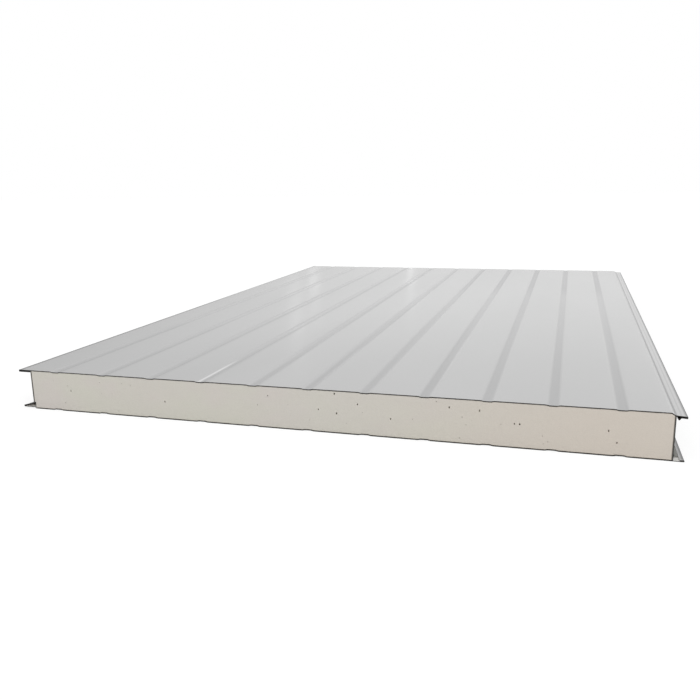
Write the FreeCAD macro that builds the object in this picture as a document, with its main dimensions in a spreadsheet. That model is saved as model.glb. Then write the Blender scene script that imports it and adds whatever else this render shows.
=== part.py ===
import FreeCAD, Part
import math
import os
import Sketcher

# Insulated sandwich panel for walls and cold rooms: two roll-formed steel facings with a
# rigid foam core between them. The panel lies on its inner facing. X runs across it, from
# the edge with the lap lip and the tongue (-X) to the edge with the two receiving lips (+X),
# Y runs along it and Z is its thickness. The origin is the middle of its underside.
#
# Every body is drawn in one section frame: across = 0 at the tip of the lap lip, up = 0 at the
# underside, and the front sawn end at Y = 0. Its Placement then centres it on the origin.

doc = FreeCAD.newDocument("insulated_sandwich_panel")

# ---------------------------------------------------------------- driving dimensions

# Millimetres. Each is a cell of the sheet, with its own name as the alias.
SIZES = {
    "cover_width": 1155,          # wall width that one panel covers, joint to joint
    "panel_length": 1700,         # length between the two sawn ends
    "panel_thickness": 75,        # thickness over both facings
    "sheet_gauge": 0.6,           # steel thickness of both facings
    "bend_radius": 0.8,           # inside radius of a free bend

    "rib_pitch": 100,             # spacing of the shallow grooves
    "first_rib": 80,              # centre of the first groove
    "rib_margin": 60,             # least flat between the last groove and the joint line
    "rib_width": 20,              # width of a groove at the face
    "rib_floor": 12,              # width of a groove's flat floor
    "rib_depth": 1.1,             # depth of a groove

    "lap_reach": 27,              # reach of the lap lip beyond the foam
    "lap_hem": 3,                 # height of the lap lip's open hem
    "lap_hem_gap": 2.4,           # gap between the hem's free edge and the foam
    "lap_clearance": 0.5,         # play between a lap lip and the stepped lip under it

    "underlap": 15,               # reach of both receiving lips beyond the joint line
    "foam_before_joint": 2,       # end of the foam before the joint line
    "step_width": 5,              # width of the step, which ends over the foam's side
    "lip_fall": 1.2,              # fall of the stepped lip to its tip
    "lip_fold": 2.8,              # height of the stepped lip's fold at its tip
    "bead_gap": 0.8,              # gap between the folded lip's free edge and the foam
    "bead_apex_in": 5,            # bead's lowest line, from the foam's side
    "bead_width": 8,              # bead's outer foot, from the foam's side
    "bead_drop": 3.8,             # depth of the bead below the folded lip

    "inner_hem": 2,               # height of the flush lip's hem
    "inner_hem_return": 6,        # width of the flush lip's hem
    "seam_clearance": 0.3,        # play between the tongue and the flush lip under it

    "nose_inset": 3.2,            # tongue's nose, from the lap lip's tip
    "nose_height": 2,             # height of the tongue's blunt nose
    "tongue_rise": 9,             # rise of the tongue's upper arm to its root
    "tongue_root": 3.5,           # reach of the tongue's root into the foam
    "tongue_return": 9,           # height of the flange that closes the tongue
    "joggle_gap": 0.5,            # start of the tongue's joggle before its root
    "joggle_run": 2.5,            # width of the joggle

    "tape_thickness": 1.6,        # thickness of a side tape
    "tape_clearance": 0.3,        # play between a side tape and the folded sheets

    "seal_inset": 3,              # seal's near side, from the foam's side
    "seal_width": 6.5,            # width of the joint seal
    "seal_height": 3,             # height of the joint seal before it is pressed
    "seal_setback": 10,           # distance of the seal's ends from the sawn ends
}

dims = doc.addObject("Spreadsheet::Sheet", "dims")
for row, (alias, value) in enumerate(SIZES.items(), start=1):
    dims.set(f"A{row}", alias.replace("_", " "))
    dims.set(f"B{row}", str(value))
    dims.setAlias(f"B{row}", alias)
doc.recompute()

# Places that several pieces share, as formulas of the sheet.
OVERALL_WIDTH = "(dims.cover_width + dims.underlap)"
TOP = "dims.panel_thickness"
CORE_LEFT = "dims.lap_reach"
CORE_RIGHT = "(dims.cover_width - dims.foam_before_joint)"
STEP_START = f"({CORE_RIGHT} - dims.step_width)"
STEP_DROP = "(dims.lap_hem + dims.lap_clearance)"
STEP_ANGLE = f"atan({STEP_DROP} / dims.step_width)"
TONGUE_LIFT = "(dims.inner_hem + dims.seam_clearance)"
NOSE_TOP = f"({TONGUE_LIFT} + dims.nose_height)"
ROOT_ACROSS = f"({CORE_LEFT} + dims.tongue_root)"
ROOT_TOP = f"({NOSE_TOP} + dims.tongue_rise)"
ARM_AT_FOAM = (f"({NOSE_TOP} + dims.tongue_rise * ({CORE_LEFT} - dims.nose_inset)"
               f" / ({ROOT_ACROSS} - dims.nose_inset))")
RIB_COUNT = "floor((dims.cover_width - dims.rib_margin - dims.first_rib) / dims.rib_pitch) + 1"

# ---------------------------------------------------------------- drawing helpers

SKETCH_ORIGIN = (-1, 1)       # the sketch's own origin point, as a constraint names it
START, END = range(1, 3)      # the ends of a line, as a constraint numbers them


def origin_feature(body, role):
    """The body's own origin plane or axis of that role."""
    return next(item for item in body.Origin.OriginFeatures if item.Role == role)


def new_body(name):
    """A PartDesign body in the section frame, centred on the origin by its Placement."""
    body = doc.addObject("PartDesign::Body", name)
    body.Label = name
    body.setExpression("Placement.Base.x", f"-{OVERALL_WIDTH} / 2")
    body.setExpression("Placement.Base.y", "-dims.panel_length / 2")
    return body


def section_sketch(body, name):
    """An empty sketch in the plane of the front sawn end."""
    sketch = body.newObject("Sketcher::SketchObject", name)
    sketch.AttachmentSupport = (origin_feature(body, "XZ_Plane"), "")
    sketch.MapMode = "FlatFace"
    return sketch


def bind(sketch, constraint, name, formula):
    """Add a named dimension to a sketch and tie it to the sheet."""
    index = sketch.addConstraint(constraint)
    sketch.renameConstraint(index, name)
    sketch.setExpression(f"Constraints.{name}", formula)


def pin_vertex(sketch, line, end, name, corner):
    """Tie one vertex to its across and up formulas."""
    bind(sketch, Sketcher.Constraint("DistanceX", *SKETCH_ORIGIN, line, end, 1.0),
         f"{name}_across", corner[0])
    bind(sketch, Sketcher.Constraint("DistanceY", *SKETCH_ORIGIN, line, end, 1.0),
         f"{name}_up", corner[1])


def draw_path(sketch, corners, closed):
    """Lines through the corners, each corner tied to its formulas. Returns the line numbers."""
    count = len(corners)
    turn = 2 * math.pi / count
    loose = [FreeCAD.Vector(math.cos(turn * i), math.sin(turn * i), 0) * count
             for i in range(count)]
    line_total = count if closed else count - 1
    lines = [sketch.addGeometry(Part.LineSegment(loose[i], loose[(i + 1) % count]), False)
             for i in range(line_total)]
    for before, after in zip(lines, lines[1:]):
        sketch.addConstraint(Sketcher.Constraint("Coincident", before, END, after, START))
    if closed:
        sketch.addConstraint(Sketcher.Constraint("Coincident", lines[-1], END, lines[0], START))
    for i, corner in enumerate(corners):
        if i < line_total:
            pin_vertex(sketch, lines[i], START, f"corner{i}", corner)
        else:
            pin_vertex(sketch, lines[-1], END, f"corner{i}", corner)
    return lines


def draw_outline(body, name, corners):
    """A closed section given by its corners."""
    sketch = section_sketch(body, name)
    draw_path(sketch, corners, closed=True)
    doc.recompute()
    return sketch


def mitred(points, gauge):
    """The points of the same path, moved to its left by the gauge, with mitred corners."""
    moved = []
    for i, point in enumerate(points):
        normals = []
        for a, b in ((i - 1, i), (i, i + 1)):
            if a >= 0 and b < len(points):
                along = (points[b] - points[a]).normalize()
                normals.append(FreeCAD.Vector(-along.y, along.x, 0))
        mean = normals[0] + normals[-1]
        mean.normalize()
        moved.append(point + mean * (gauge / mean.dot(normals[0])))
    return moved


def draw_strip(body, name, corners):
    """The section of one folded sheet, with square bends.

    The corners are the bends of the sheet's outer face, in the order that keeps the metal on
    the left of the path. The inner face runs parallel to it at the gauge. Returns the sketch
    with the solved points of both faces.
    """
    sketch = section_sketch(body, name)
    outer = draw_path(sketch, corners, closed=False)
    doc.recompute()
    face = [sketch.Geometry[line].StartPoint for line in outer]
    face.append(sketch.Geometry[outer[-1]].EndPoint)
    back = mitred(face, dims.sheet_gauge)

    inner = [sketch.addGeometry(Part.LineSegment(a, b), False) for a, b in zip(back, back[1:])]
    first_end = sketch.addGeometry(Part.LineSegment(face[0], back[0]), False)
    last_end = sketch.addGeometry(Part.LineSegment(face[-1], back[-1]), False)
    for before, after in zip(inner, inner[1:]):
        sketch.addConstraint(Sketcher.Constraint("Coincident", before, END, after, START))
    for cap, side, end in ((first_end, START, START), (last_end, END, END)):
        outer_line = outer[0] if side == START else outer[-1]
        inner_line = inner[0] if side == START else inner[-1]
        sketch.addConstraint(Sketcher.Constraint("Coincident", cap, START, outer_line, end))
        sketch.addConstraint(Sketcher.Constraint("Coincident", cap, END, inner_line, end))
        sketch.addConstraint(Sketcher.Constraint("Perpendicular", cap, outer_line))
    for i, (outer_line, inner_line) in enumerate(zip(outer, inner)):
        sketch.addConstraint(Sketcher.Constraint("Parallel", outer_line, inner_line))
        spacing = Sketcher.Constraint("Distance", inner_line, START, outer_line, dims.sheet_gauge)
        bind(sketch, spacing, f"gauge{i}", "dims.sheet_gauge")
    doc.recompute()
    return sketch, face, back


def along_panel(body, kind, name, sketch):
    """Pad or pocket a section over the whole length of the panel."""
    feature = body.newObject(f"PartDesign::{kind}", name)
    feature.Profile = sketch
    feature.setExpression("Length", "dims.panel_length")
    feature.Reversed = kind == "Pad"
    doc.recompute()
    return feature


def rib_outline(body, name, face, inward):
    """Section of the first groove, cut from a flat face towards the foam."""
    half_width = "dims.rib_width / 2"
    half_floor = "dims.rib_floor / 2"
    floor = f"{face} {inward} dims.rib_depth"
    return draw_outline(body, name, [
        (f"dims.first_rib - {half_width}", face),
        (f"dims.first_rib + {half_width}", face),
        (f"dims.first_rib + {half_floor}", floor),
        (f"dims.first_rib - {half_floor}", floor)])


def repeat_ribs(body, name, features):
    """Repeat the first groove's features across the panel."""
    pattern = body.newObject("PartDesign::LinearPattern", name)
    pattern.Originals = features
    pattern.Direction = (origin_feature(body, "X_Axis"), [""])
    pattern.setExpression("Length", f"dims.rib_pitch * ({RIB_COUNT} - 1)")
    pattern.setExpression("Occurrences", RIB_COUNT)
    body.Tip = pattern
    doc.recompute()
    return pattern


def edges_on(shape, points):
    """Names of the long straight edges that run along Y through these section points."""
    found = []
    for number, edge in enumerate(shape.Edges, start=1):
        ends = [vertex.Point for vertex in edge.Vertexes]
        for point in points:
            if len(ends) == 2 and all(math.hypot(end.x - point.x, end.z - point.y) < 0.01
                                      for end in ends):
                found.append(f"Edge{number}")
    return found


def round_edges(body, name, points, radius):
    """Round the long edges that run through these section points."""
    base = body.Tip
    fillet = body.newObject("PartDesign::Fillet", name)
    fillet.Base = (base, edges_on(base.Shape, points))
    fillet.setExpression("Radius", radius)
    body.Tip = fillet
    doc.recompute()


def round_bends(body, name, face, back, bends, outer_radius):
    """Round the listed bends of a strip, on both faces, about the same centres."""
    def turns_left(i):
        before = face[i] - face[i - 1]
        after = face[i + 1] - face[i]
        return before.x * after.y - before.y * after.x > 0

    convex = [face[i] if turns_left(i) else back[i] for i in bends]
    hollow = [back[i] if turns_left(i) else face[i] for i in bends]
    round_edges(body, f"{name}_outside", convex, outer_radius)
    round_edges(body, f"{name}_inside", hollow, f"{outer_radius} - dims.sheet_gauge")


FREE_BEND = "dims.bend_radius + dims.sheet_gauge"
NOSE_SHARE = 0.48    # a hem's rounded nose takes nearly its whole height

# ---------------------------------------------------------------- outer facing
# One steel sheet over the top. On the left it runs past the foam as a flat lap lip, folded
# under into an open hem. On the right it steps down by the height of that hem, so that the
# next panel's lip lies flush on it, and its edge is folded under and ends in a V-shaped bead.

outer_facing = new_body("outer_facing")
LIP_TOP = f"({TOP} - {STEP_DROP})"
FOLD_LEVEL = f"({LIP_TOP} - dims.lip_fall - dims.lip_fold)"
outer_strip, outer_face, outer_back = draw_strip(outer_facing, "outer_fold", [
    (f"{CORE_RIGHT} + dims.tape_thickness + dims.bead_gap", FOLD_LEVEL),
    (f"{CORE_RIGHT} + dims.bead_apex_in", f"{FOLD_LEVEL} - dims.bead_drop"),
    (f"{CORE_RIGHT} + dims.bead_width", FOLD_LEVEL),
    (OVERALL_WIDTH, FOLD_LEVEL),
    (OVERALL_WIDTH, f"{LIP_TOP} - dims.lip_fall"),
    (CORE_RIGHT, LIP_TOP),
    (STEP_START, TOP),
    ("0", TOP),
    ("0", f"{TOP} - dims.lap_hem"),
    (f"{CORE_LEFT} - dims.lap_hem_gap", f"{TOP} - dims.lap_hem")])
along_panel(outer_facing, "Pad", "sheet", outer_strip)
outer_tray = along_panel(outer_facing, "Pad", "rib_metal",
                         rib_outline(outer_facing, "rib_metal_outline",
                                     f"({TOP} - dims.sheet_gauge)", "-"))
outer_groove = along_panel(outer_facing, "Pocket", "rib_groove",
                           rib_outline(outer_facing, "rib_groove_outline", TOP, "-"))
repeat_ribs(outer_facing, "ribs", [outer_tray, outer_groove])
round_bends(outer_facing, "bead_bends", outer_face, outer_back, [1, 2], FREE_BEND)
round_bends(outer_facing, "lip_nose", outer_face, outer_back, [3, 4],
            f"dims.lip_fold * {NOSE_SHARE}")
round_bends(outer_facing, "step_bends", outer_face, outer_back, [5, 6], FREE_BEND)
round_bends(outer_facing, "lap_nose", outer_face, outer_back, [7, 8],
            f"dims.lap_hem * {NOSE_SHARE}")

# ---------------------------------------------------------------- inner facing
# One steel sheet underneath. On the right it runs flush past the foam as a lip whose edge is
# folded up into a hem. On the left it is joggled up by the height of that hem, so that it laps
# over the next panel's lip, and is folded back into a hollow wedge-shaped tongue. A flange at
# the tongue's root turns down beside the foam and closes it.

inner_facing = new_body("inner_facing")
JOGGLE_END = f"({ROOT_ACROSS} - dims.joggle_gap - dims.joggle_run)"
inner_strip, inner_face, inner_back = draw_strip(inner_facing, "inner_fold", [
    (ROOT_ACROSS, f"{ROOT_TOP} - dims.tongue_return"),
    (ROOT_ACROSS, ROOT_TOP),
    ("dims.nose_inset", NOSE_TOP),
    ("dims.nose_inset", TONGUE_LIFT),
    (JOGGLE_END, TONGUE_LIFT),
    (f"{ROOT_ACROSS} - dims.joggle_gap", "0"),
    (OVERALL_WIDTH, "0"),
    (OVERALL_WIDTH, "dims.inner_hem"),
    (f"{OVERALL_WIDTH} - dims.inner_hem_return", "dims.inner_hem")])
along_panel(inner_facing, "Pad", "sheet", inner_strip)
inner_tray = along_panel(inner_facing, "Pad", "rib_metal",
                         rib_outline(inner_facing, "rib_metal_outline",
                                     "dims.sheet_gauge", "+"))
inner_groove = along_panel(inner_facing, "Pocket", "rib_groove",
                           rib_outline(inner_facing, "rib_groove_outline", "0", "+"))
repeat_ribs(inner_facing, "ribs", [inner_tray, inner_groove])
round_bends(inner_facing, "tongue_bends", inner_face, inner_back, [1, 4], FREE_BEND)
round_bends(inner_facing, "tongue_nose", inner_face, inner_back, [2, 3],
            f"dims.nose_height * {NOSE_SHARE}")
round_bends(inner_facing, "lip_nose", inner_face, inner_back, [6, 7],
            f"dims.inner_hem * {NOSE_SHARE}")

# ---------------------------------------------------------------- insulation core
# The foam fills everything between the two sheets, so its section follows their inner faces:
# the step on the right, the tongue's root on the left and every groove.

insulation_core = new_body("insulation_core")
UNDER_STEP = (f"{STEP_START} - dims.sheet_gauge * tan({STEP_ANGLE} / 2)",
              f"{TOP} - dims.sheet_gauge")
core_corners = [
    (ROOT_ACROSS, "dims.sheet_gauge"),
    (CORE_RIGHT, "dims.sheet_gauge"),
    (CORE_RIGHT, f"{LIP_TOP} - dims.sheet_gauge / cos({STEP_ANGLE})"),
    UNDER_STEP,
    (CORE_LEFT, f"{TOP} - dims.sheet_gauge"),
    (CORE_LEFT, ARM_AT_FOAM),
    (ROOT_ACROSS, ROOT_TOP)]
core_outline = draw_outline(insulation_core, "core_section", core_corners)
along_panel(insulation_core, "Pad", "foam", core_outline)
top_groove = along_panel(insulation_core, "Pocket", "top_groove",
                         rib_outline(insulation_core, "top_groove_outline",
                                     f"({TOP} - dims.sheet_gauge)", "-"))
bottom_groove = along_panel(insulation_core, "Pocket", "bottom_groove",
                            rib_outline(insulation_core, "bottom_groove_outline",
                                        "dims.sheet_gauge", "+"))
repeat_ribs(insulation_core, "ribs", [top_groove, bottom_groove])
step_line = core_outline.Geometry[core_corners.index(UNDER_STEP)]
round_edges(insulation_core, "under_step_bend", [step_line.StartPoint], "dims.bend_radius")

# ---------------------------------------------------------------- side tapes and joint seal
# A tape covers each side of the foam, and a soft strip lies on the flush lip.


def strip_box(name, across, width, up, height, start, length):
    """A plain strip along the panel, placed in the section frame."""
    box = doc.addObject("Part::Box", name)
    box.Label = name
    box.setExpression("Length", width)
    box.setExpression("Width", length)
    box.setExpression("Height", height)
    box.setExpression("Placement.Base.x", f"{across} - {OVERALL_WIDTH} / 2")
    box.setExpression("Placement.Base.y", f"{start} - dims.panel_length / 2")
    box.setExpression("Placement.Base.z", up)
    return box


strip_box("edge_tape_left",
          across=f"{CORE_LEFT} - dims.tape_thickness", width="dims.tape_thickness",
          up=f"{ARM_AT_FOAM} + dims.tape_clearance",
          height=f"{TOP} - dims.sheet_gauge - {ARM_AT_FOAM} - dims.tape_clearance",
          start="0", length="dims.panel_length")
strip_box("edge_tape_right",
          across=CORE_RIGHT, width="dims.tape_thickness",
          up="dims.sheet_gauge",
          height=f"{LIP_TOP} - dims.sheet_gauge / cos({STEP_ANGLE}) - dims.sheet_gauge"
                 " - dims.tape_clearance",
          start="0", length="dims.panel_length")
strip_box("joint_seal",
          across=f"{CORE_RIGHT} + dims.seal_inset", width="dims.seal_width",
          up="dims.sheet_gauge", height="dims.seal_height",
          start="dims.seal_setback", length="dims.panel_length - 2 * dims.seal_setback")

# ---------------------------------------------------------------- check and write

doc.recompute()
for item in doc.Objects:
    if "Invalid" in item.State or "Error" in item.State:
        raise RuntimeError(f"{item.Name} did not build: {item.State}")

PIECES = ("outer_facing", "inner_facing", "insulation_core",
          "edge_tape_left", "edge_tape_right", "joint_seal")
os.makedirs("parts", exist_ok=True)
for node in PIECES:
    shape = doc.getObject(node).Shape
    if shape.isNull() or not shape.isValid() or len(shape.Solids) != 1:
        raise RuntimeError(f"{node} is not one valid solid")
    shape.exportStep(f"parts/{node}.step")
    print(node, round(shape.Volume), shape.BoundBox)
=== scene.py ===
import math
import random

import bmesh
import bpy
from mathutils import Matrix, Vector, noise


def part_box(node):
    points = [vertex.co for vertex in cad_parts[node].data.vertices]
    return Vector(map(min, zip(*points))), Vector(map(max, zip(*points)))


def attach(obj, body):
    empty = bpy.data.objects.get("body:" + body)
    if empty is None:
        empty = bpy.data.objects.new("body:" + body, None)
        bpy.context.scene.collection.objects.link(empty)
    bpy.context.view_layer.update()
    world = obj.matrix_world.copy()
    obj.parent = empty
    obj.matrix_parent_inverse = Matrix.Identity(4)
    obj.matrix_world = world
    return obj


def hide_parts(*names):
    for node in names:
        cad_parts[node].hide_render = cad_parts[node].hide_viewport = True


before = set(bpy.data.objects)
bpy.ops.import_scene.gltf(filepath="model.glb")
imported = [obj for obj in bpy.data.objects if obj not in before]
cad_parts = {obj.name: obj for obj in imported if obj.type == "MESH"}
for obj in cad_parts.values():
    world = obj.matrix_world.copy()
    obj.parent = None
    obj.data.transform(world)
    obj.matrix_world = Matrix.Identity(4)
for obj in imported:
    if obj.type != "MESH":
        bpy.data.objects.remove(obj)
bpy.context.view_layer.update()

# ---------------------------------------------------------------- outer facing
# The upper sheet: coil-coated steel, roll-formed in one pass with shallow grooves, a lap lip
# hemmed under on the left, and on the right a stepped lip whose folded edge ends in a V bead.
# The foam is poured against it and holds it over its whole width.

# The section is written in millimetres, across from the lap lip's tip and up from the floor.
MM = 0.001
outer_low, outer_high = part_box("outer_facing")
core_low, core_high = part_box("insulation_core")
left, front, back = outer_low.x, outer_low.y, outer_high.y
panel_width = (outer_high.x - left) / MM
panel_thickness = outer_high.z / MM
foam_left = (core_low.x - left) / MM
foam_right = (core_high.x - left) / MM
gauge = core_low.z / MM

# Materials measure across the panel from its middle.
left_edge = -panel_width / 2
right_edge = panel_width / 2

first_rib = 80
rib_pitch = 100
rib_centres = [first_rib + rib_pitch * rib for rib in range(11)]
rib_half_width = 10
rib_half_floor = 6
rib_depth = 1.1
rib_softness = 1.9
glint_rib = 3

lap_hem = 3
lap_hem_gap = 2.4
lap_clearance = 0.5
lip_fall = 1.2
lip_fold = 2.8
step_width = 5
bead_start, bead_apex, bead_foot = 2.4, 5, 8
bead_drop = 3.8
bead_end = foam_right + bead_foot + 1
lip_top = panel_thickness - lap_hem - lap_clearance
lip_tip = lip_top - lip_fall
fold_level = lip_tip - lip_fold

outer_bends = [
    (foam_right + bead_start, fold_level, 0),
    (foam_right + bead_apex, fold_level - bead_drop, 1.2),
    (foam_right + bead_foot, fold_level, 0.8),
    (panel_width, fold_level, 1.3),
    (panel_width, lip_tip, 1.3),
    (foam_right, lip_top, 1.2),
    (foam_right - step_width, panel_thickness, 1.2)]
for centre in reversed(rib_centres):
    outer_bends += [
        (centre + rib_half_width, panel_thickness, rib_softness),
        (centre + rib_half_floor, panel_thickness - rib_depth, rib_softness),
        (centre - rib_half_floor, panel_thickness - rib_depth, rib_softness),
        (centre - rib_half_width, panel_thickness, rib_softness)]
outer_bends += [
    (0, panel_thickness, 1.4),
    (0, panel_thickness - lap_hem, 1.4),
    (foam_left - lap_hem_gap, panel_thickness - lap_hem, 0)]


def row_steps(length):
    """Steps along the panel: short ones by each sawn end, long ones between."""
    end_steps = [1.5, 2.5, 4, 7, 12]
    long_step = 26
    middle = length - 2 * sum(end_steps)
    count = round(middle / long_step)
    return end_steps + [middle / count] * count + end_steps[::-1]


def roll_form(bends):
    """The outer face of a folded sheet: its bends, rounded, then drawn along the panel."""
    sheet = bmesh.new()
    corners = [sheet.verts.new((left + across * MM, front, up * MM)) for across, up, _ in bends]
    for one, other in zip(corners, corners[1:]):
        sheet.edges.new((one, other))
    for rounding in sorted({bend[2] for bend in bends} - {0}):
        rounded = [corner for corner, bend in zip(corners, bends) if bend[2] == rounding]
        bmesh.ops.bevel(sheet, geom=rounded, offset=rounding * MM, segments=4,
                        profile=0.5, affect="VERTICES", material=-1)
    flats = [edge for edge in sheet.edges if edge.calc_length() > 30 * MM]
    bmesh.ops.subdivide_edges(sheet, edges=flats, cuts=3)
    last_row = sheet.edges[:]
    for step in row_steps((back - front) / MM):
        drawn = bmesh.ops.extrude_edge_only(sheet, edges=last_row)["geom"]
        moved = [item for item in drawn if isinstance(item, bmesh.types.BMVert)]
        last_row = [item for item in drawn if isinstance(item, bmesh.types.BMEdge)]
        bmesh.ops.translate(sheet, verts=moved, vec=(0, step * MM, 0))
    bmesh.ops.recalc_face_normals(sheet, faces=sheet.faces[:])
    return sheet


def relax_flats(sheet, face_level, inward, seed):
    """Let the flat of a sheet dip towards the foam by a few tenths, as coil steel does."""
    edge_fade, end_fade = 40 * MM, 60 * MM
    for vert in sheet.verts:
        from_edge = min(vert.co.x - left - foam_left * MM, left + foam_right * MM - vert.co.x)
        from_end = min(vert.co.y - front, back - vert.co.y)
        depth = abs(vert.co.z / MM - face_level)
        if from_edge <= 0 or depth > 2 * rib_depth:
            continue
        fade = min(1, from_edge / edge_fade) * min(1, from_end / end_fade)
        swell = noise.noise(Vector((vert.co.x * 7, vert.co.y * 2.2, seed)))
        ripple = noise.noise(Vector((vert.co.x * 22, vert.co.y * 9, seed + 5)))
        vert.co.z += inward * fade * (0.2 + 0.16 * swell + 0.04 * ripple) * MM


def trim_ends(sheet, seed):
    """Leave the saw's slight unevenness on the sheet's two cut edges."""
    saw_bite = 0.18
    for vert in sheet.verts:
        for end, into in ((front, 1), (back, -1)):
            if abs(vert.co.y - end) < 0.01 * MM:
                bite = noise.noise(Vector((vert.co.x * 120, vert.co.z * 120, seed + into)))
                vert.co.y += into * (saw_bite + saw_bite * bite) * MM


def raise_burr(sheet, faces, height):
    """Turn the metal at both sawn ends out of these faces, raggedly, by that height in mm."""
    burr_reach = 0.8
    burr = {}
    for face in faces:
        for vert in face.verts:
            if min(vert.co.y - front, back - vert.co.y) < burr_reach * MM:
                burr.setdefault(vert, Vector()).xz += face.normal.xz
    for vert, lean in burr.items():
        ragged = 1 + 0.5 * noise.noise(Vector((vert.co.x * 190, vert.co.y, 3)))
        vert.co += lean.normalized() * height((vert.co.x - left) / MM) * ragged * MM
        vert.co.x = min(max(vert.co.x, left), left + panel_width * MM)


def smooth_below(form, degrees):
    """Shade a form smooth, apart from the edges that are sharper than that angle."""
    for face in form.faces:
        face.smooth = True
    for edge in form.edges:
        edge.smooth = edge.calc_face_angle(0) < math.radians(degrees)


def outer_burr(across):
    """Burr inside the outer sheet: high against the foam, low in the folds and the bead."""
    if across > foam_right + 1:
        return 0.2 if across < bead_end else 0.45
    return 0.6 if across > foam_left else 0.45


def folded_burr(across):
    """Burr on the far side of the folded-back layers, longest under the lap lip."""
    if across < foam_left:
        return 1.1
    return 0.2 if across < bead_end else 0.7


def add_metal(sheet, outward, inner_height):
    """Give the face its gauge on the inside, and the saw's burr along both of its cut edges.

    Slots: 0 coating, 1 bare cut edge, 2 back coat, 3 coating on the outermost folds.
    """
    outermost = max(sheet.faces, key=lambda face: outward * face.calc_center_median().z)
    if outermost.normal.z * outward < 0:
        bmesh.ops.reverse_faces(sheet, faces=sheet.faces[:])
    coated = set(sheet.faces)
    bmesh.ops.solidify(sheet, geom=sheet.faces[:], thickness=gauge * MM)
    sheet.normal_update()
    fold_reach = 1.3
    widest = max(abs(vert.co.x) for vert in sheet.verts)
    for face in sheet.faces:
        if face not in coated:
            face.material_index = 1 if abs(face.normal.y) > 0.8 else 2
        elif abs(face.calc_center_median().x) > widest - fold_reach * MM:
            face.material_index = 3
    raise_burr(sheet, [face for face in sheet.faces if face.material_index == 2], inner_height)
    raise_burr(sheet, [face for face in coated if face.normal.z * outward < -0.5], folded_burr)
    smooth_below(sheet, 40)


class Wire:
    """One output of a material node. Arithmetic on wires adds Math nodes."""

    def __init__(self, finish, socket):
        self.finish = finish
        self.socket = socket

    def maths(self, operation, *inputs):
        """A Math node of that operation on these inputs."""
        return self.finish.node("Math", {"operation": operation}, dict(enumerate(inputs)))

    def __add__(self, other):
        return self.maths("ADD", self, other)

    def __sub__(self, other):
        return self.maths("SUBTRACT", self, other)

    def __rsub__(self, other):
        return self.maths("SUBTRACT", other, self)

    def __mul__(self, other):
        return self.maths("MULTIPLY", self, other)

    def __truediv__(self, other):
        return self.maths("DIVIDE", self, other)

    def __abs__(self):
        return self.maths("ABSOLUTE", self)

    __radd__ = __add__
    __rmul__ = __mul__

    def between(self, low, high):
        """0 below low, 1 above high and smooth between them."""
        return self.finish.node("MapRange", {"interpolation_type": "SMOOTHSTEP"},
                                {"Value": self, "From Min": low, "From Max": high})


class Finish:
    """The nodes of a material or world round its one shader. One method adds any other node."""

    def __init__(self, owner, shader="BSDF_PRINCIPLED"):
        owner.use_nodes = True
        self.owner = owner
        self.nodes = owner.node_tree.nodes
        self.shader = next(item for item in self.nodes if item.type == shader)
        self.place = self.node("TexCoord", {}, {}, "Object")

    def connect(self, sockets, values):
        """Set sockets by name or number, from plain values or wires."""
        for key, value in values.items():
            if isinstance(value, Wire):
                self.owner.node_tree.links.new(value.socket, sockets[key])
            else:
                sockets[key].default_value = value

    def node(self, kind, settings, inputs, output=0):
        """A shader node: its settings first, then its inputs. Returns one of its outputs."""
        made = self.nodes.new(f"ShaderNode{kind}")
        for key, value in settings.items():
            setattr(made, key, value)
        self.connect(made.inputs, inputs)
        return Wire(self, made.outputs[output])

    def blend(self, factor, first, second):
        """Colour that goes from the first to the second with the factor."""
        return self.node("Mix", {"data_type": "RGBA"}, {0: factor, 6: first, 7: second}, 2)

    def cloud(self, scale, detail=2.0, stretch=(1, 1, 1), shift=(0, 0, 0)):
        """Noise from 0 to 1 on the object's own metres. Scale is in features per metre."""
        spot = self.node("Mapping", {}, {"Vector": self.place, "Scale": stretch,
                                         "Location": shift})
        return self.node("TexNoise", {}, {"Vector": spot, "Scale": scale, "Detail": detail,
                                          "Roughness": 0.55})

    def across(self):
        """The place across the panel, in millimetres from its middle."""
        return self.node("SeparateXYZ", {}, {0: self.place}, "X") / MM

    def along(self):
        """The place along the panel, in millimetres from its middle."""
        return self.node("SeparateXYZ", {}, {0: self.place}, "Y") / MM

    def groove_share(self, shift=0.0, core=rib_half_floor, reach=rib_half_width):
        """1 within the core of each groove, fading to 0 at its reach, shifted to the right."""
        above_zero = 20 * rib_pitch
        from_rib = self.node("Math", {"operation": "PINGPONG"}, {
            0: self.across() - shift - (first_rib + left_edge) + above_zero,
            1: rib_pitch / 2})
        return 1 - from_rib.between(core, reach)

    def paint(self, **values):
        """Set the shader's sockets, with _ for a space in their names."""
        self.connect(self.shader.inputs,
                     {key.replace("_", " "): value for key, value in values.items()})
        return self.owner

    def relief(self, height, depth):
        """A bump of that height, 0 to 1, over that depth in metres."""
        return self.node("Bump", {}, {"Height": height, "Distance": depth, "Strength": 1.0},
                         "Normal")


def new_finish(name):
    """The finish of a new material."""
    return Finish(bpy.data.materials.new(name))


def tone(red, green, blue):
    """A colour from its 0 to 255 display values."""
    def linear(level):
        share = level / 255
        return share / 12.92 if share <= 0.04045 else ((share + 0.055) / 1.055) ** 2.4
    return (linear(red), linear(green), linear(blue), 1.0)


# Grey of the groove bands: dust, and on the outer sheet painted shade as well.
dust_and_shade_grey = tone(140, 140, 141)


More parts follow.
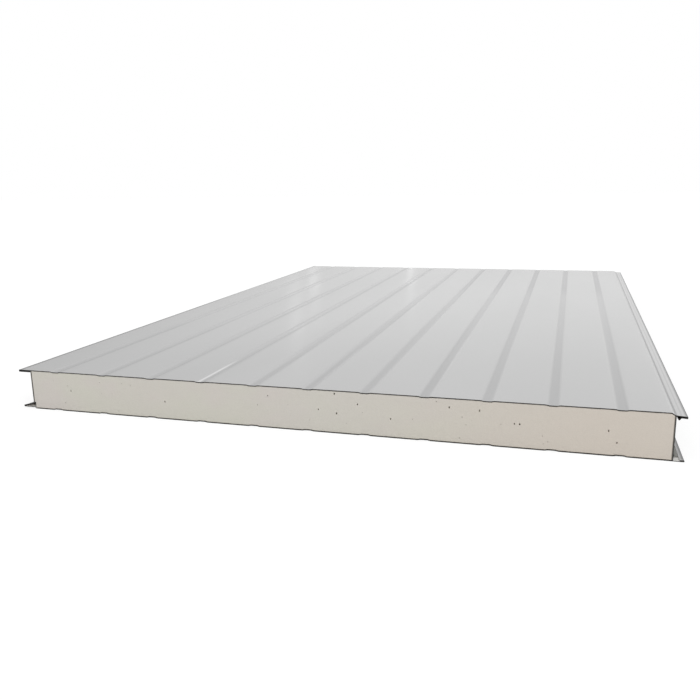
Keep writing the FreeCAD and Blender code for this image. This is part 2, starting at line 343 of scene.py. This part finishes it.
def coil_coating(name, soil_and_painted_light):
    """Semi-gloss polyester paint: faint mottle, the groove marks it is given, painted shade along
    the folded edges and at the step's foot, a fine orange peel.
    """
    coat = new_finish(name)
    mottle = coat.cloud(3.2, 3, (1, 0.35, 1)).between(0.3, 0.7)
    soiled_and_painted_light = soil_and_painted_light(coat, coat.blend(mottle, tone(188, 188, 188), tone(184, 184, 184)))
    across = coat.across()
    # Painted shade: the coating darkens along both folded edges, and on the left only towards the
    # front end.
    left_fold_shade = 1 - across.between(left_edge + 4, left_edge + 9)
    left_fold_shade = left_fold_shade * (1 - coat.along().between(-100, 200))
    right_fold_shade = across.between(right_edge - 5.5, right_edge - 2)
    fold_shaded = coat.blend((left_fold_shade + right_fold_shade) * 0.75, soiled_and_painted_light, tone(88, 88, 88))
    # Painted shade: a dark line in the crease at the step's foot. A fainter dark line runs along
    # the lip over the bead's foot.
    step_foot_shade = 1 - abs(across - (foam_right + 0.2 + left_edge)).between(0.8, 2.6)
    lip_mark = 1 - abs(across - (foam_right + bead_foot + left_edge)).between(0.3, 2.0)
    marked = coat.blend(step_foot_shade * 0.7 + lip_mark * 0.2, fold_shaded, tone(96, 96, 96))
    peel = coat.cloud(900, 1)
    smear = coat.cloud(6, 4, (1, 0.2, 1), (3, 1, 0))
    return coat.paint(Base_Color=marked, Roughness=0.15 + smear * 0.08, IOR=1.5,
                      Normal=coat.relief(peel, 0.00001))


def groove_dust_shade_and_glint(coat, body):
    """Dust with painted shade in the grooves: the band shifts right on the left ribs, fades at the
    near left and grows towards the far right; a painted highlight on one flank.
    """
    across, along = coat.across(), coat.along()
    # Painted shade: the dust band is deepened and shifted right on the left ribs to stand in for
    # the grooves' shading.
    on_left = 1 - across.between(-250, 250)
    groove_dust_and_shade = coat.groove_share(on_left * 6.5, 5.5 - on_left * 3.5, 11 + on_left * 3)
    fainter_near_left = (1 - across.between(-450, -250)) * along.between(-450, -250) * 0.8
    darker_far_right = across.between(20, 160) * along.between(180, 450) * 0.75
    patchy = 0.8 + coat.cloud(9, 2, (1, 0.25, 1), (5, 2, 0)) * 0.4
    dust_and_shade_depth = (0.3 + across.between(-350, -50) * 0.14) * (1 - fainter_near_left) * (1 + darker_far_right) * patchy
    dusty_and_shaded = coat.blend(groove_dust_and_shade * dust_and_shade_depth, body, dust_and_shade_grey)
    # Painted highlight: a near-white streak on one groove flank near the front end stands in for a
    # lamp's glint.
    painted_glint = 1 - abs(across - (rib_centres[glint_rib] - 2 + left_edge)).between(1.5, 4.5)
    painted_glint = painted_glint * (1 - along.between(-760, -660))
    return coat.blend(painted_glint * 0.7, dusty_and_shaded, tone(232, 232, 232))


def light_dust(coat, body):
    """A little dust in the grooves."""
    patchy = 0.18 + coat.cloud(7, 2, (1, 0.25, 1), (1, 4, 0)) * 0.2
    return coat.blend(coat.groove_share(0, 4, 11) * patchy, body, dust_and_shade_grey)


def fold_shade_coating():
    """Coating on the outermost folds: dull, and painted dark grey for the shade on the folded
    edges.
    """
    fold = new_finish("fold_shade_coating")
    fold_mottle = fold.cloud(90, 3, (1, 0.2, 1))
    return fold.paint(Base_Color=fold.blend(fold_mottle, tone(84, 84, 84), tone(104, 104, 104)),
                      Roughness=0.65 + fold_mottle * 0.2, Specular_IOR_Level=0.15)


def cut_steel_and_shade():
    """The cut edge: zinc and steel smeared by the saw, dull, and painted near black for the shade
    of the sawn line too.
    """
    edge = new_finish("cut_edge")
    drag = edge.cloud(400, 3, (1, 1, 0.2))
    return edge.paint(Base_Color=edge.blend(drag, tone(30, 29, 28), tone(58, 56, 54)),
                      Roughness=0.6 + drag * 0.2, Specular_IOR_Level=0.2)


def back_coat(name, light, dark):
    """The thin primer on the foam side, seen only inside the folds."""
    primer = new_finish(name)
    veil = primer.cloud(60, 2)
    return primer.paint(Base_Color=primer.blend(veil, light, dark), Roughness=0.6 + veil * 0.1)


def add_piece(name, form, finishes, node):
    """A finished piece that stands for a solid of the part."""
    data = bpy.data.meshes.new(name)
    form.to_mesh(data)
    form.free()
    for finish in finishes:
        data.materials.append(finish)
    piece = bpy.data.objects.new(name, data)
    bpy.context.scene.collection.objects.link(piece)
    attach(piece, "root")
    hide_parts(node)


cut_edge = cut_steel_and_shade()
fold_shade = fold_shade_coating()
# Painted shade: this back coat is dark grey, unlike the inner sheet's, to stand in for the shade
# inside the lap hem and the bead.
hem_shade_primer = back_coat("hem_shade_primer", tone(96, 95, 92), tone(84, 83, 80))

outer_sheet = roll_form(outer_bends)
relax_flats(outer_sheet, panel_thickness, -1, seed=2)
trim_ends(outer_sheet, seed=11)
add_metal(outer_sheet, 1, outer_burr)
outer_paint = coil_coating("outer_coating", groove_dust_shade_and_glint)
add_piece("outer_sheet", outer_sheet, [outer_paint, cut_edge, hem_shade_primer, fold_shade],
          "outer_facing")

# ---------------------------------------------------------------- inner facing
# The lower sheet, rolled from the same coil steel. Its right edge is a flush lip hemmed
# upwards. Its left edge is joggled up, folded back into a hollow wedge-shaped tongue and
# closed by a flange that the foam grips.

inner_hem = 2
inner_hem_return = 6
seam_clearance = 0.3
tongue_lift = inner_hem + seam_clearance
nose_inset = 3.2
nose_height = 2
nose_top = tongue_lift + nose_height
tongue_rise = 9
root_across = foam_left + 3.5
root_top = nose_top + tongue_rise
root_rounding = 1.2
flange_height = 9

inner_bends = [
    (root_across, root_top - flange_height, 0),
    (root_across, root_top, root_rounding),
    (nose_inset, nose_top, 0.9),
    (nose_inset, tongue_lift, 0.9),
    (root_across - 3, tongue_lift, 0.6),
    (root_across - 0.5, 0, 0.6)]
for centre in rib_centres:
    inner_bends += [
        (centre - rib_half_width, 0, rib_softness),
        (centre - rib_half_floor, rib_depth, rib_softness),
        (centre + rib_half_floor, rib_depth, rib_softness),
        (centre + rib_half_width, 0, rib_softness)]
inner_bends += [
    (panel_width, 0, 0.95),
    (panel_width, inner_hem, 0.95),
    (panel_width - inner_hem_return, inner_hem, 0)]


def inner_burr(across):
    """Burr inside the inner sheet: it nearly closes the tongue's nose."""
    if across < root_across:
        return min(0.6, 0.38 + 0.06 * (across - nose_inset))
    if across >= foam_right + 1:
        return 0.3
    return 0.8 - 0.2 * across / panel_width


inner_sheet = roll_form(inner_bends)
relax_flats(inner_sheet, 0, 1, seed=8)
trim_ends(inner_sheet, seed=17)
add_metal(inner_sheet, -1, inner_burr)
inner_paint = coil_coating("inner_coating", light_dust)
# Painted light: this back coat is near white to stand in for light inside the hollow tongue.
tongue_light_primer = back_coat("tongue_light_primer", tone(243, 241, 238), tone(238, 236, 232))
add_piece("inner_sheet", inner_sheet, [inner_paint, cut_edge, tongue_light_primer, fold_shade],
          "inner_facing")

# ---------------------------------------------------------------- insulation core
# Rigid foam, poured between the sheets, where it rises, sets and grips them. The panel is
# sawn to length, so both ends show the cut: fine closed cells, a few open blowholes and a
# thin line torn out along each sheet.

cell = 1.6
foam_top = panel_thickness - gauge
foam_bottom = gauge
core_columns = round((foam_right - foam_left) / cell)
core_rows = round((foam_top - foam_bottom) / cell)
tear_depth = 2.2


def groove(across):
    """How far the grooves reach into the foam at this place across the panel."""
    from_rib = min(abs(across - centre) for centre in rib_centres)
    share = (rib_half_width - from_rib) / (rib_half_width - rib_half_floor)
    return rib_depth * max(0, min(1, share))


def core_place(u, v):
    """Millimetre place on the cut face, for shares u across and v up.

    The rows lie closer together near the sheets, where the foam is torn.
    """
    v -= 0.5 * math.sin(2 * math.pi * v) / (2 * math.pi)
    height = foam_bottom + (foam_top - foam_bottom) * v
    under_arm = (root_top - height) / (root_top - nose_top) * (root_across - nose_inset)
    side = foam_left
    if height < root_top - root_rounding:
        side = root_across
    elif height <= root_top:
        side = min(root_across, max(foam_left, root_across - under_arm))
    across = side + (foam_right - side) * u
    step = max(0, across - (foam_right - step_width)) * (panel_thickness - lip_top) / step_width
    high = foam_top - groove(across) - step
    low = foam_bottom + groove(across)
    return across, low + (high - low) * v


def sawn_end(foam, end, into, seed):
    """One cut face of the core: a fine grid on the core's outline, roughened by the saw."""
    made = bmesh.ops.create_grid(foam, x_segments=core_columns, y_segments=core_rows, size=0.5)
    verts = made["verts"]
    for vert in verts:
        u, v = vert.co.x + 0.5, vert.co.y + 0.5
        across, up = core_place(u, v)
        swell = noise.noise(Vector((across * 0.02, up * 0.03, seed)))
        grain = noise.noise(Vector((across * 0.5, up * 0.5, seed + 3)))
        cut = 0.35 + 0.15 * swell + 0.1 * grain
        from_sheet = min(v, 1 - v) * core_rows
        torn = noise.noise(Vector((across * 0.06, round(v) * 9, seed + 7)))
        torn += 0.5 * noise.noise(Vector((across * 0.4, round(v) * 9, seed + 8)))
        if from_sheet < 1.5:
            cut += tear_depth * (0.85 + 0.6 * torn) * (1 if from_sheet < 0.5 else 0.8)
        vert.co = ((left + across * MM), end + into * cut * MM, up * MM)
    faces = list({face for vert in verts for face in vert.link_faces})
    foam.normal_update()
    if faces[0].normal.y * into > 0:
        bmesh.ops.reverse_faces(foam, faces=faces)
    return verts


def blow_hole(foam, verts, place, size, depth, into):
    """Open a blowhole: pull the eight points round one place onto its rim, and sink the rest."""
    middle = min(verts, key=lambda vert: (Vector(vert.co.xz) - place).length)
    sunk = [face for face in middle.link_faces if len(face.verts) == 4]
    rim = {vert for face in sunk for vert in face.verts} - {middle}
    if len(rim) != 8:
        return
    for vert in rim:
        arm = (vert.co.xz - middle.co.xz).normalized()
        vert.co.xz = middle.co.xz + Vector((arm.x * size[0], arm.y * size[1])) * MM
    bmesh.ops.inset_region(foam, faces=sunk, thickness=0.12 * size[0] * MM,
                           use_even_offset=True)
    for vert in {vert for face in sunk for vert in face.verts}:
        vert.co.y += into * depth * (1.3 if vert == middle else 1) * MM


dice = random.Random(41)
blow_holes = [(112, 40), (309, 32), (509, 57), (628, 69), (599, 41), (631, 34), (669, 54),
              (725, 33), (820, 60), (868, 57), (922, 40), (931, 41), (1062, 40), (1075, 22)]

foam = bmesh.new()
ends = []
for end, into, seed in ((front, 1, 4), (back, -1, 9)):
    columns = {}
    for vert in sawn_end(foam, end, into, seed):
        columns.setdefault(round((vert.co.x - left) / MM / 10), []).append(vert)
    big = blow_holes if into == 1 else [(dice.uniform(60, 1120), dice.uniform(12, 66))
                                        for _ in range(12)]
    small = [(dice.uniform(foam_left + 12, foam_right - 10),
              foam_bottom + 64 * dice.random() ** 1.6 + 5) for _ in range(26)]
    for across, up in big + small:
        large = (across, up) in big
        width = dice.uniform(1.1, 1.5) if large else dice.uniform(0.5, 0.8)
        size = (width, width * dice.uniform(0.9, 1.7))
        slot = round(across / 10)
        close = [vert for key in (slot - 1, slot, slot + 1) for vert in columns[key]]
        place = Vector((left + across * MM, up * MM))
        blow_hole(foam, close, place, size, dice.uniform(3, 4.5) if large else 1.5, into)
    ends.append([edge for edge in foam.edges if edge.is_boundary and abs(
        edge.verts[0].co.y - end) < 10 * MM])
bmesh.ops.bridge_loops(foam, edges=ends[0] + ends[1])
smooth_below(foam, 35)


def sawn_foam():
    """Sawn rigid foam: pinkish and greenish beige in soft clouds, fine cells, saw drag, painted
    shade along the torn line by each sheet, and darker foam beside the tapes.
    """
    cut = new_finish("sawn_foam")
    drift = cut.cloud(5, 2, (1, 1, 2.2), (0.3, 0, 0))
    tint = cut.blend(drift.between(0.35, 0.65), tone(204, 200, 193), tone(204, 202, 192))
    flush = cut.cloud(7, 2, (1, 1, 1.6), (4, 0, 2))
    blush = cut.blend(flush.between(0.52, 0.75), tint, tone(205, 199, 194))
    aged = cut.blend(cut.across().between(0, 550), blush, tone(205, 197, 187))
    cells = cut.node("TexVoronoi", {"feature": "F1"}, {"Vector": cut.place, "Scale": 1300.0})
    grit = cut.cloud(700, 3)
    fine = cut.blend(grit.between(0.3, 0.75) * 0.12, aged, tone(150, 142, 130))
    up = cut.node("SeparateXYZ", {}, {0: cut.place}, "Z") / MM
    groove_reach = cut.groove_share() * rib_depth
    past_step = cut.across() - (foam_right - step_width + left_edge)
    step_slope = (panel_thickness - lip_top) / step_width
    step_fall = past_step.maths("MAXIMUM", past_step, 0.0) * step_slope
    under_top = foam_top - groove_reach - step_fall - up
    over_bottom = up - foam_bottom - groove_reach
    from_sheet = under_top.maths("MINIMUM", under_top, over_bottom)
    from_left = cut.across() - (foam_left + left_edge)
    from_right = foam_right + left_edge - cut.across()
    beside_tape = 1 - from_left.maths("MINIMUM", from_left, from_right).between(0.6, 1.8)
    # Painted shade: the foam is darkened in the torn line along each sheet.
    torn_line_shade = 1 - (from_sheet + cut.cloud(150, 3) * 0.8).between(0.9, 1.9)
    dark_lines = torn_line_shade.maths("MAXIMUM", torn_line_shade, beside_tape) * 0.9
    dark_lined = cut.blend(dark_lines, fine, tone(84, 79, 73))
    drag = cut.cloud(220, 2, (0.08, 1, 1))
    height = cells * 0.4 + grit * 0.4 + drag * 0.5
    return cut.paint(Base_Color=dark_lined, Roughness=0.92, Specular_IOR_Level=0.2,
                     Normal=cut.relief(height, 0.00018))


add_piece("foam_core", foam, [sawn_foam()], "insulation_core")

# ---------------------------------------------------------------- side tapes
# Thin laminated tapes run down both sides of the foam. They keep it in while it rises, and
# it sticks to them, so they crease a little where it shrinks as it sets.


def side_tape(node, outward, seed):
    """A creased strip that covers the solid of that node."""
    low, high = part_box(node)
    strip = bmesh.new()
    bmesh.ops.create_grid(strip, x_segments=18, y_segments=150, size=0.5)
    thickness = high.x - low.x
    setback = 0.3 * MM
    for vert in strip.verts:
        share, along = vert.co.x + 0.5, vert.co.y + 0.5
        y = low.y + (high.y - low.y) * along
        z = low.z + (high.z - low.z) * share
        crease = noise.noise(Vector((y * 9, z * 60, seed)))
        crease += 0.5 * noise.noise(Vector((y * 40, z * 25, seed + 2)))
        inset = thickness * (0.04 + 0.06 * (1 + crease))
        x = high.x - inset if outward > 0 else low.x + inset
        vert.co = (x, min(max(y, low.y + setback), high.y - setback), z)
    strip.normal_update()
    strip.faces.ensure_lookup_table()
    if strip.faces[0].normal.x * outward < 0:
        bmesh.ops.reverse_faces(strip, faces=strip.faces[:])
    bmesh.ops.solidify(strip, geom=strip.faces[:], thickness=thickness * 0.8)
    strip.normal_update()
    smooth_below(strip, 40)
    return strip


def tape_laminate():
    """Grey laminated tape, satin, with foam showing faintly through its creases."""
    tape = new_finish("tape_laminate")
    show = tape.cloud(30, 3, (1, 1, 2))
    fibre = tape.cloud(500, 2, (1, 0.1, 1))
    return tape.paint(Base_Color=tape.blend(show, tone(50, 50, 47), tone(64, 64, 60)),
                      Roughness=0.45 + fibre * 0.2, Normal=tape.relief(fibre, 0.00005))


laminate = tape_laminate()
add_piece("tape_left", side_tape("edge_tape_left", -1, 3), [laminate],
          "edge_tape_left")
add_piece("tape_right", side_tape("edge_tape_right", 1, 6), [laminate],
          "edge_tape_right")

# ---------------------------------------------------------------- joint seal
# A soft closed-cell rubber strip, stuck on the flush lip by its own adhesive. The next
# panel's tongue presses it flat. Its ends stop short of the saw cut.

seal_low, seal_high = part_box("joint_seal")
seal_trim = Vector((0.8, 12, 0)) * MM
seal_shift = Vector((0.9, 0, 0)) * MM
seal_rounding = 1 * MM
seal = bmesh.new()
bmesh.ops.create_cube(seal, size=1)
seal_size = seal_high - seal_low - seal_trim
bmesh.ops.scale(seal, verts=seal.verts[:], vec=seal_size)
bmesh.ops.translate(seal, verts=seal.verts[:],
                    vec=(seal_low + seal_high) / 2 + seal_shift)
upper = [edge for edge in seal.edges
         if all(vert.co.z > seal_low.z + seal_rounding for vert in edge.verts)
         and edge.calc_length() > 0.1]
bmesh.ops.bevel(seal, geom=upper, offset=seal_rounding, segments=4, profile=0.5,
                affect="EDGES", material=-1)
long_edges = [edge for edge in seal.edges if edge.calc_length() > 0.5]
bmesh.ops.subdivide_edges(seal, edges=long_edges, cuts=160, use_grid_fill=True)
for vert in seal.verts:
    if vert.co.z > seal_low.z + seal_rounding:
        sag = noise.noise(Vector((vert.co.x * 60, vert.co.y * 14, 1)))
        vert.co.z -= (0.18 + 0.18 * sag) * MM
smooth_below(seal, 40)


def foam_rubber():
    """Mid-grey closed-cell rubber, matt, with fine pores."""
    rubber = new_finish("foam_rubber")
    pores = rubber.cloud(1200, 2)
    return rubber.paint(
        Base_Color=rubber.blend(pores.between(0.3, 0.7), tone(143, 143, 139), tone(159, 159, 154)),
        Roughness=0.85, Normal=rubber.relief(pores, 0.0001))


add_piece("seal_strip", seal, [foam_rubber()], "joint_seal")

# ---------------------------------------------------------------- floor, light and camera
# A pale floor that keeps a faint shadow, a white surrounding, a soft key lamp, and three small
# lamps beyond the far end, which the paint mirrors as bright marks. The camera stands a little
# right of the middle, 42 cm above the floor.

floor_size = 30
floor_form = bmesh.new()
bmesh.ops.create_grid(floor_form, x_segments=1, y_segments=1, size=floor_size / 2)
floor_data = bpy.data.meshes.new("floor")
floor_form.to_mesh(floor_data)
floor_form.free()
floor = bpy.data.objects.new("floor", floor_data)
bpy.context.scene.collection.objects.link(floor)
floor.location.z = -0.2 * MM

pale = new_finish("pale_floor")
glow = pale.node("Emission", {}, {"Color": (1, 1, 1, 1), "Strength": 1.08})
seen = pale.node("LightPath", {}, {}, "Is Camera Ray")
pale.paint(Base_Color=tone(250, 250, 250), Roughness=0.9, Specular_IOR_Level=0.0)
lit = Wire(pale, pale.shader.outputs[0])
shown = pale.node("MixShader", {}, {0: seen * 0.75, 1: lit, 2: glow})
output = next(item for item in pale.nodes if item.type == "OUTPUT_MATERIAL")
pale.connect(output.inputs, {"Surface": shown})
floor_data.materials.append(pale.owner)

# The surrounding is white to the camera. The paint mirrors it as a studio: pale overhead, one
# bright band low on the far wall, and a dim left side.
world = bpy.data.worlds.new("studio")
bpy.context.scene.world = world
sky = Finish(world, "BACKGROUND")
towards = sky.node("TexCoord", {}, {}, "Generated")
rise = sky.node("SeparateXYZ", {}, {0: towards}, "Z")
sideways = sky.node("SeparateXYZ", {}, {0: towards}, "X")
wall = sky.node("ValToRGB", {}, {"Fac": rise})
stops = wall.socket.node.color_ramp.elements
for stop, (height, level) in zip((stops[0], stops[1], stops.new(0.2), stops.new(0.3)),
                                 ((0.1, 0.78), (1.0, 0.82), (0.155, 1.24), (0.25, 0.84))):
    stop.position = height
    stop.color = (level, level, level, 1)
dim_side = sky.blend(1 - sideways.between(-0.85, -0.12), wall, (0.42, 0.42, 0.42, 1))
for_glossy = sky.node("LightPath", {}, {}, "Is Glossy Ray")
for_camera = sky.node("LightPath", {}, {}, "Is Camera Ray")
for_glass = sky.node("LightPath", {}, {}, "Is Transmission Ray")
lighting = sky.blend(for_glossy, (0.85, 0.85, 0.85, 1), dim_side)
seen_white = for_camera.maths("MAXIMUM", for_camera, for_glass)
sky.paint(Color=sky.blend(seen_white, lighting, (1, 1, 1, 1)))


def soft_lamp(name, place, aim, size, power):
    """A soft box of that width and height, aimed at a point."""
    lamp_data = bpy.data.lights.new(name, "AREA")
    lamp_data.shape = "RECTANGLE"
    lamp_data.size, lamp_data.size_y = size
    lamp_data.energy = power
    lamp = bpy.data.objects.new(name, lamp_data)
    lamp.location = place
    lamp.rotation_euler = (Vector(aim) - Vector(place)).to_track_quat("-Z", "Y").to_euler()
    bpy.context.scene.collection.objects.link(lamp)


soft_lamp("key", (3.4, -4.0, 5.0), (0, 0, 0), (3, 3), 90)
soft_lamp("far_strip", (-2.25, 5.57, 0.82), (0, 0.6, 0), (0.1, 0.24), 0.05)
soft_lamp("far_band", (-2.44, 5.5, 1.22), (0, 0.3, 0), (0.12, 0.6), 0.07)
soft_lamp("far_slit", (-1.24, 5.86, 0.75), (0, 0.8, 0), (0.02, 0.08), 0.04)

eye = Vector((0.4089, -1.9711, 0.4172))
camera_data = bpy.data.cameras.new("camera")
camera_data.sensor_width = 36
camera_data.lens = 37.97
camera = bpy.data.objects.new("camera", camera_data)
camera.location = eye
camera.rotation_euler = [math.radians(angle) for angle in (76.923, 1.006, 16.481)]
bpy.context.scene.collection.objects.link(camera)
bpy.context.scene.camera = camera
bpy.context.scene.view_settings.view_transform = "Standard"
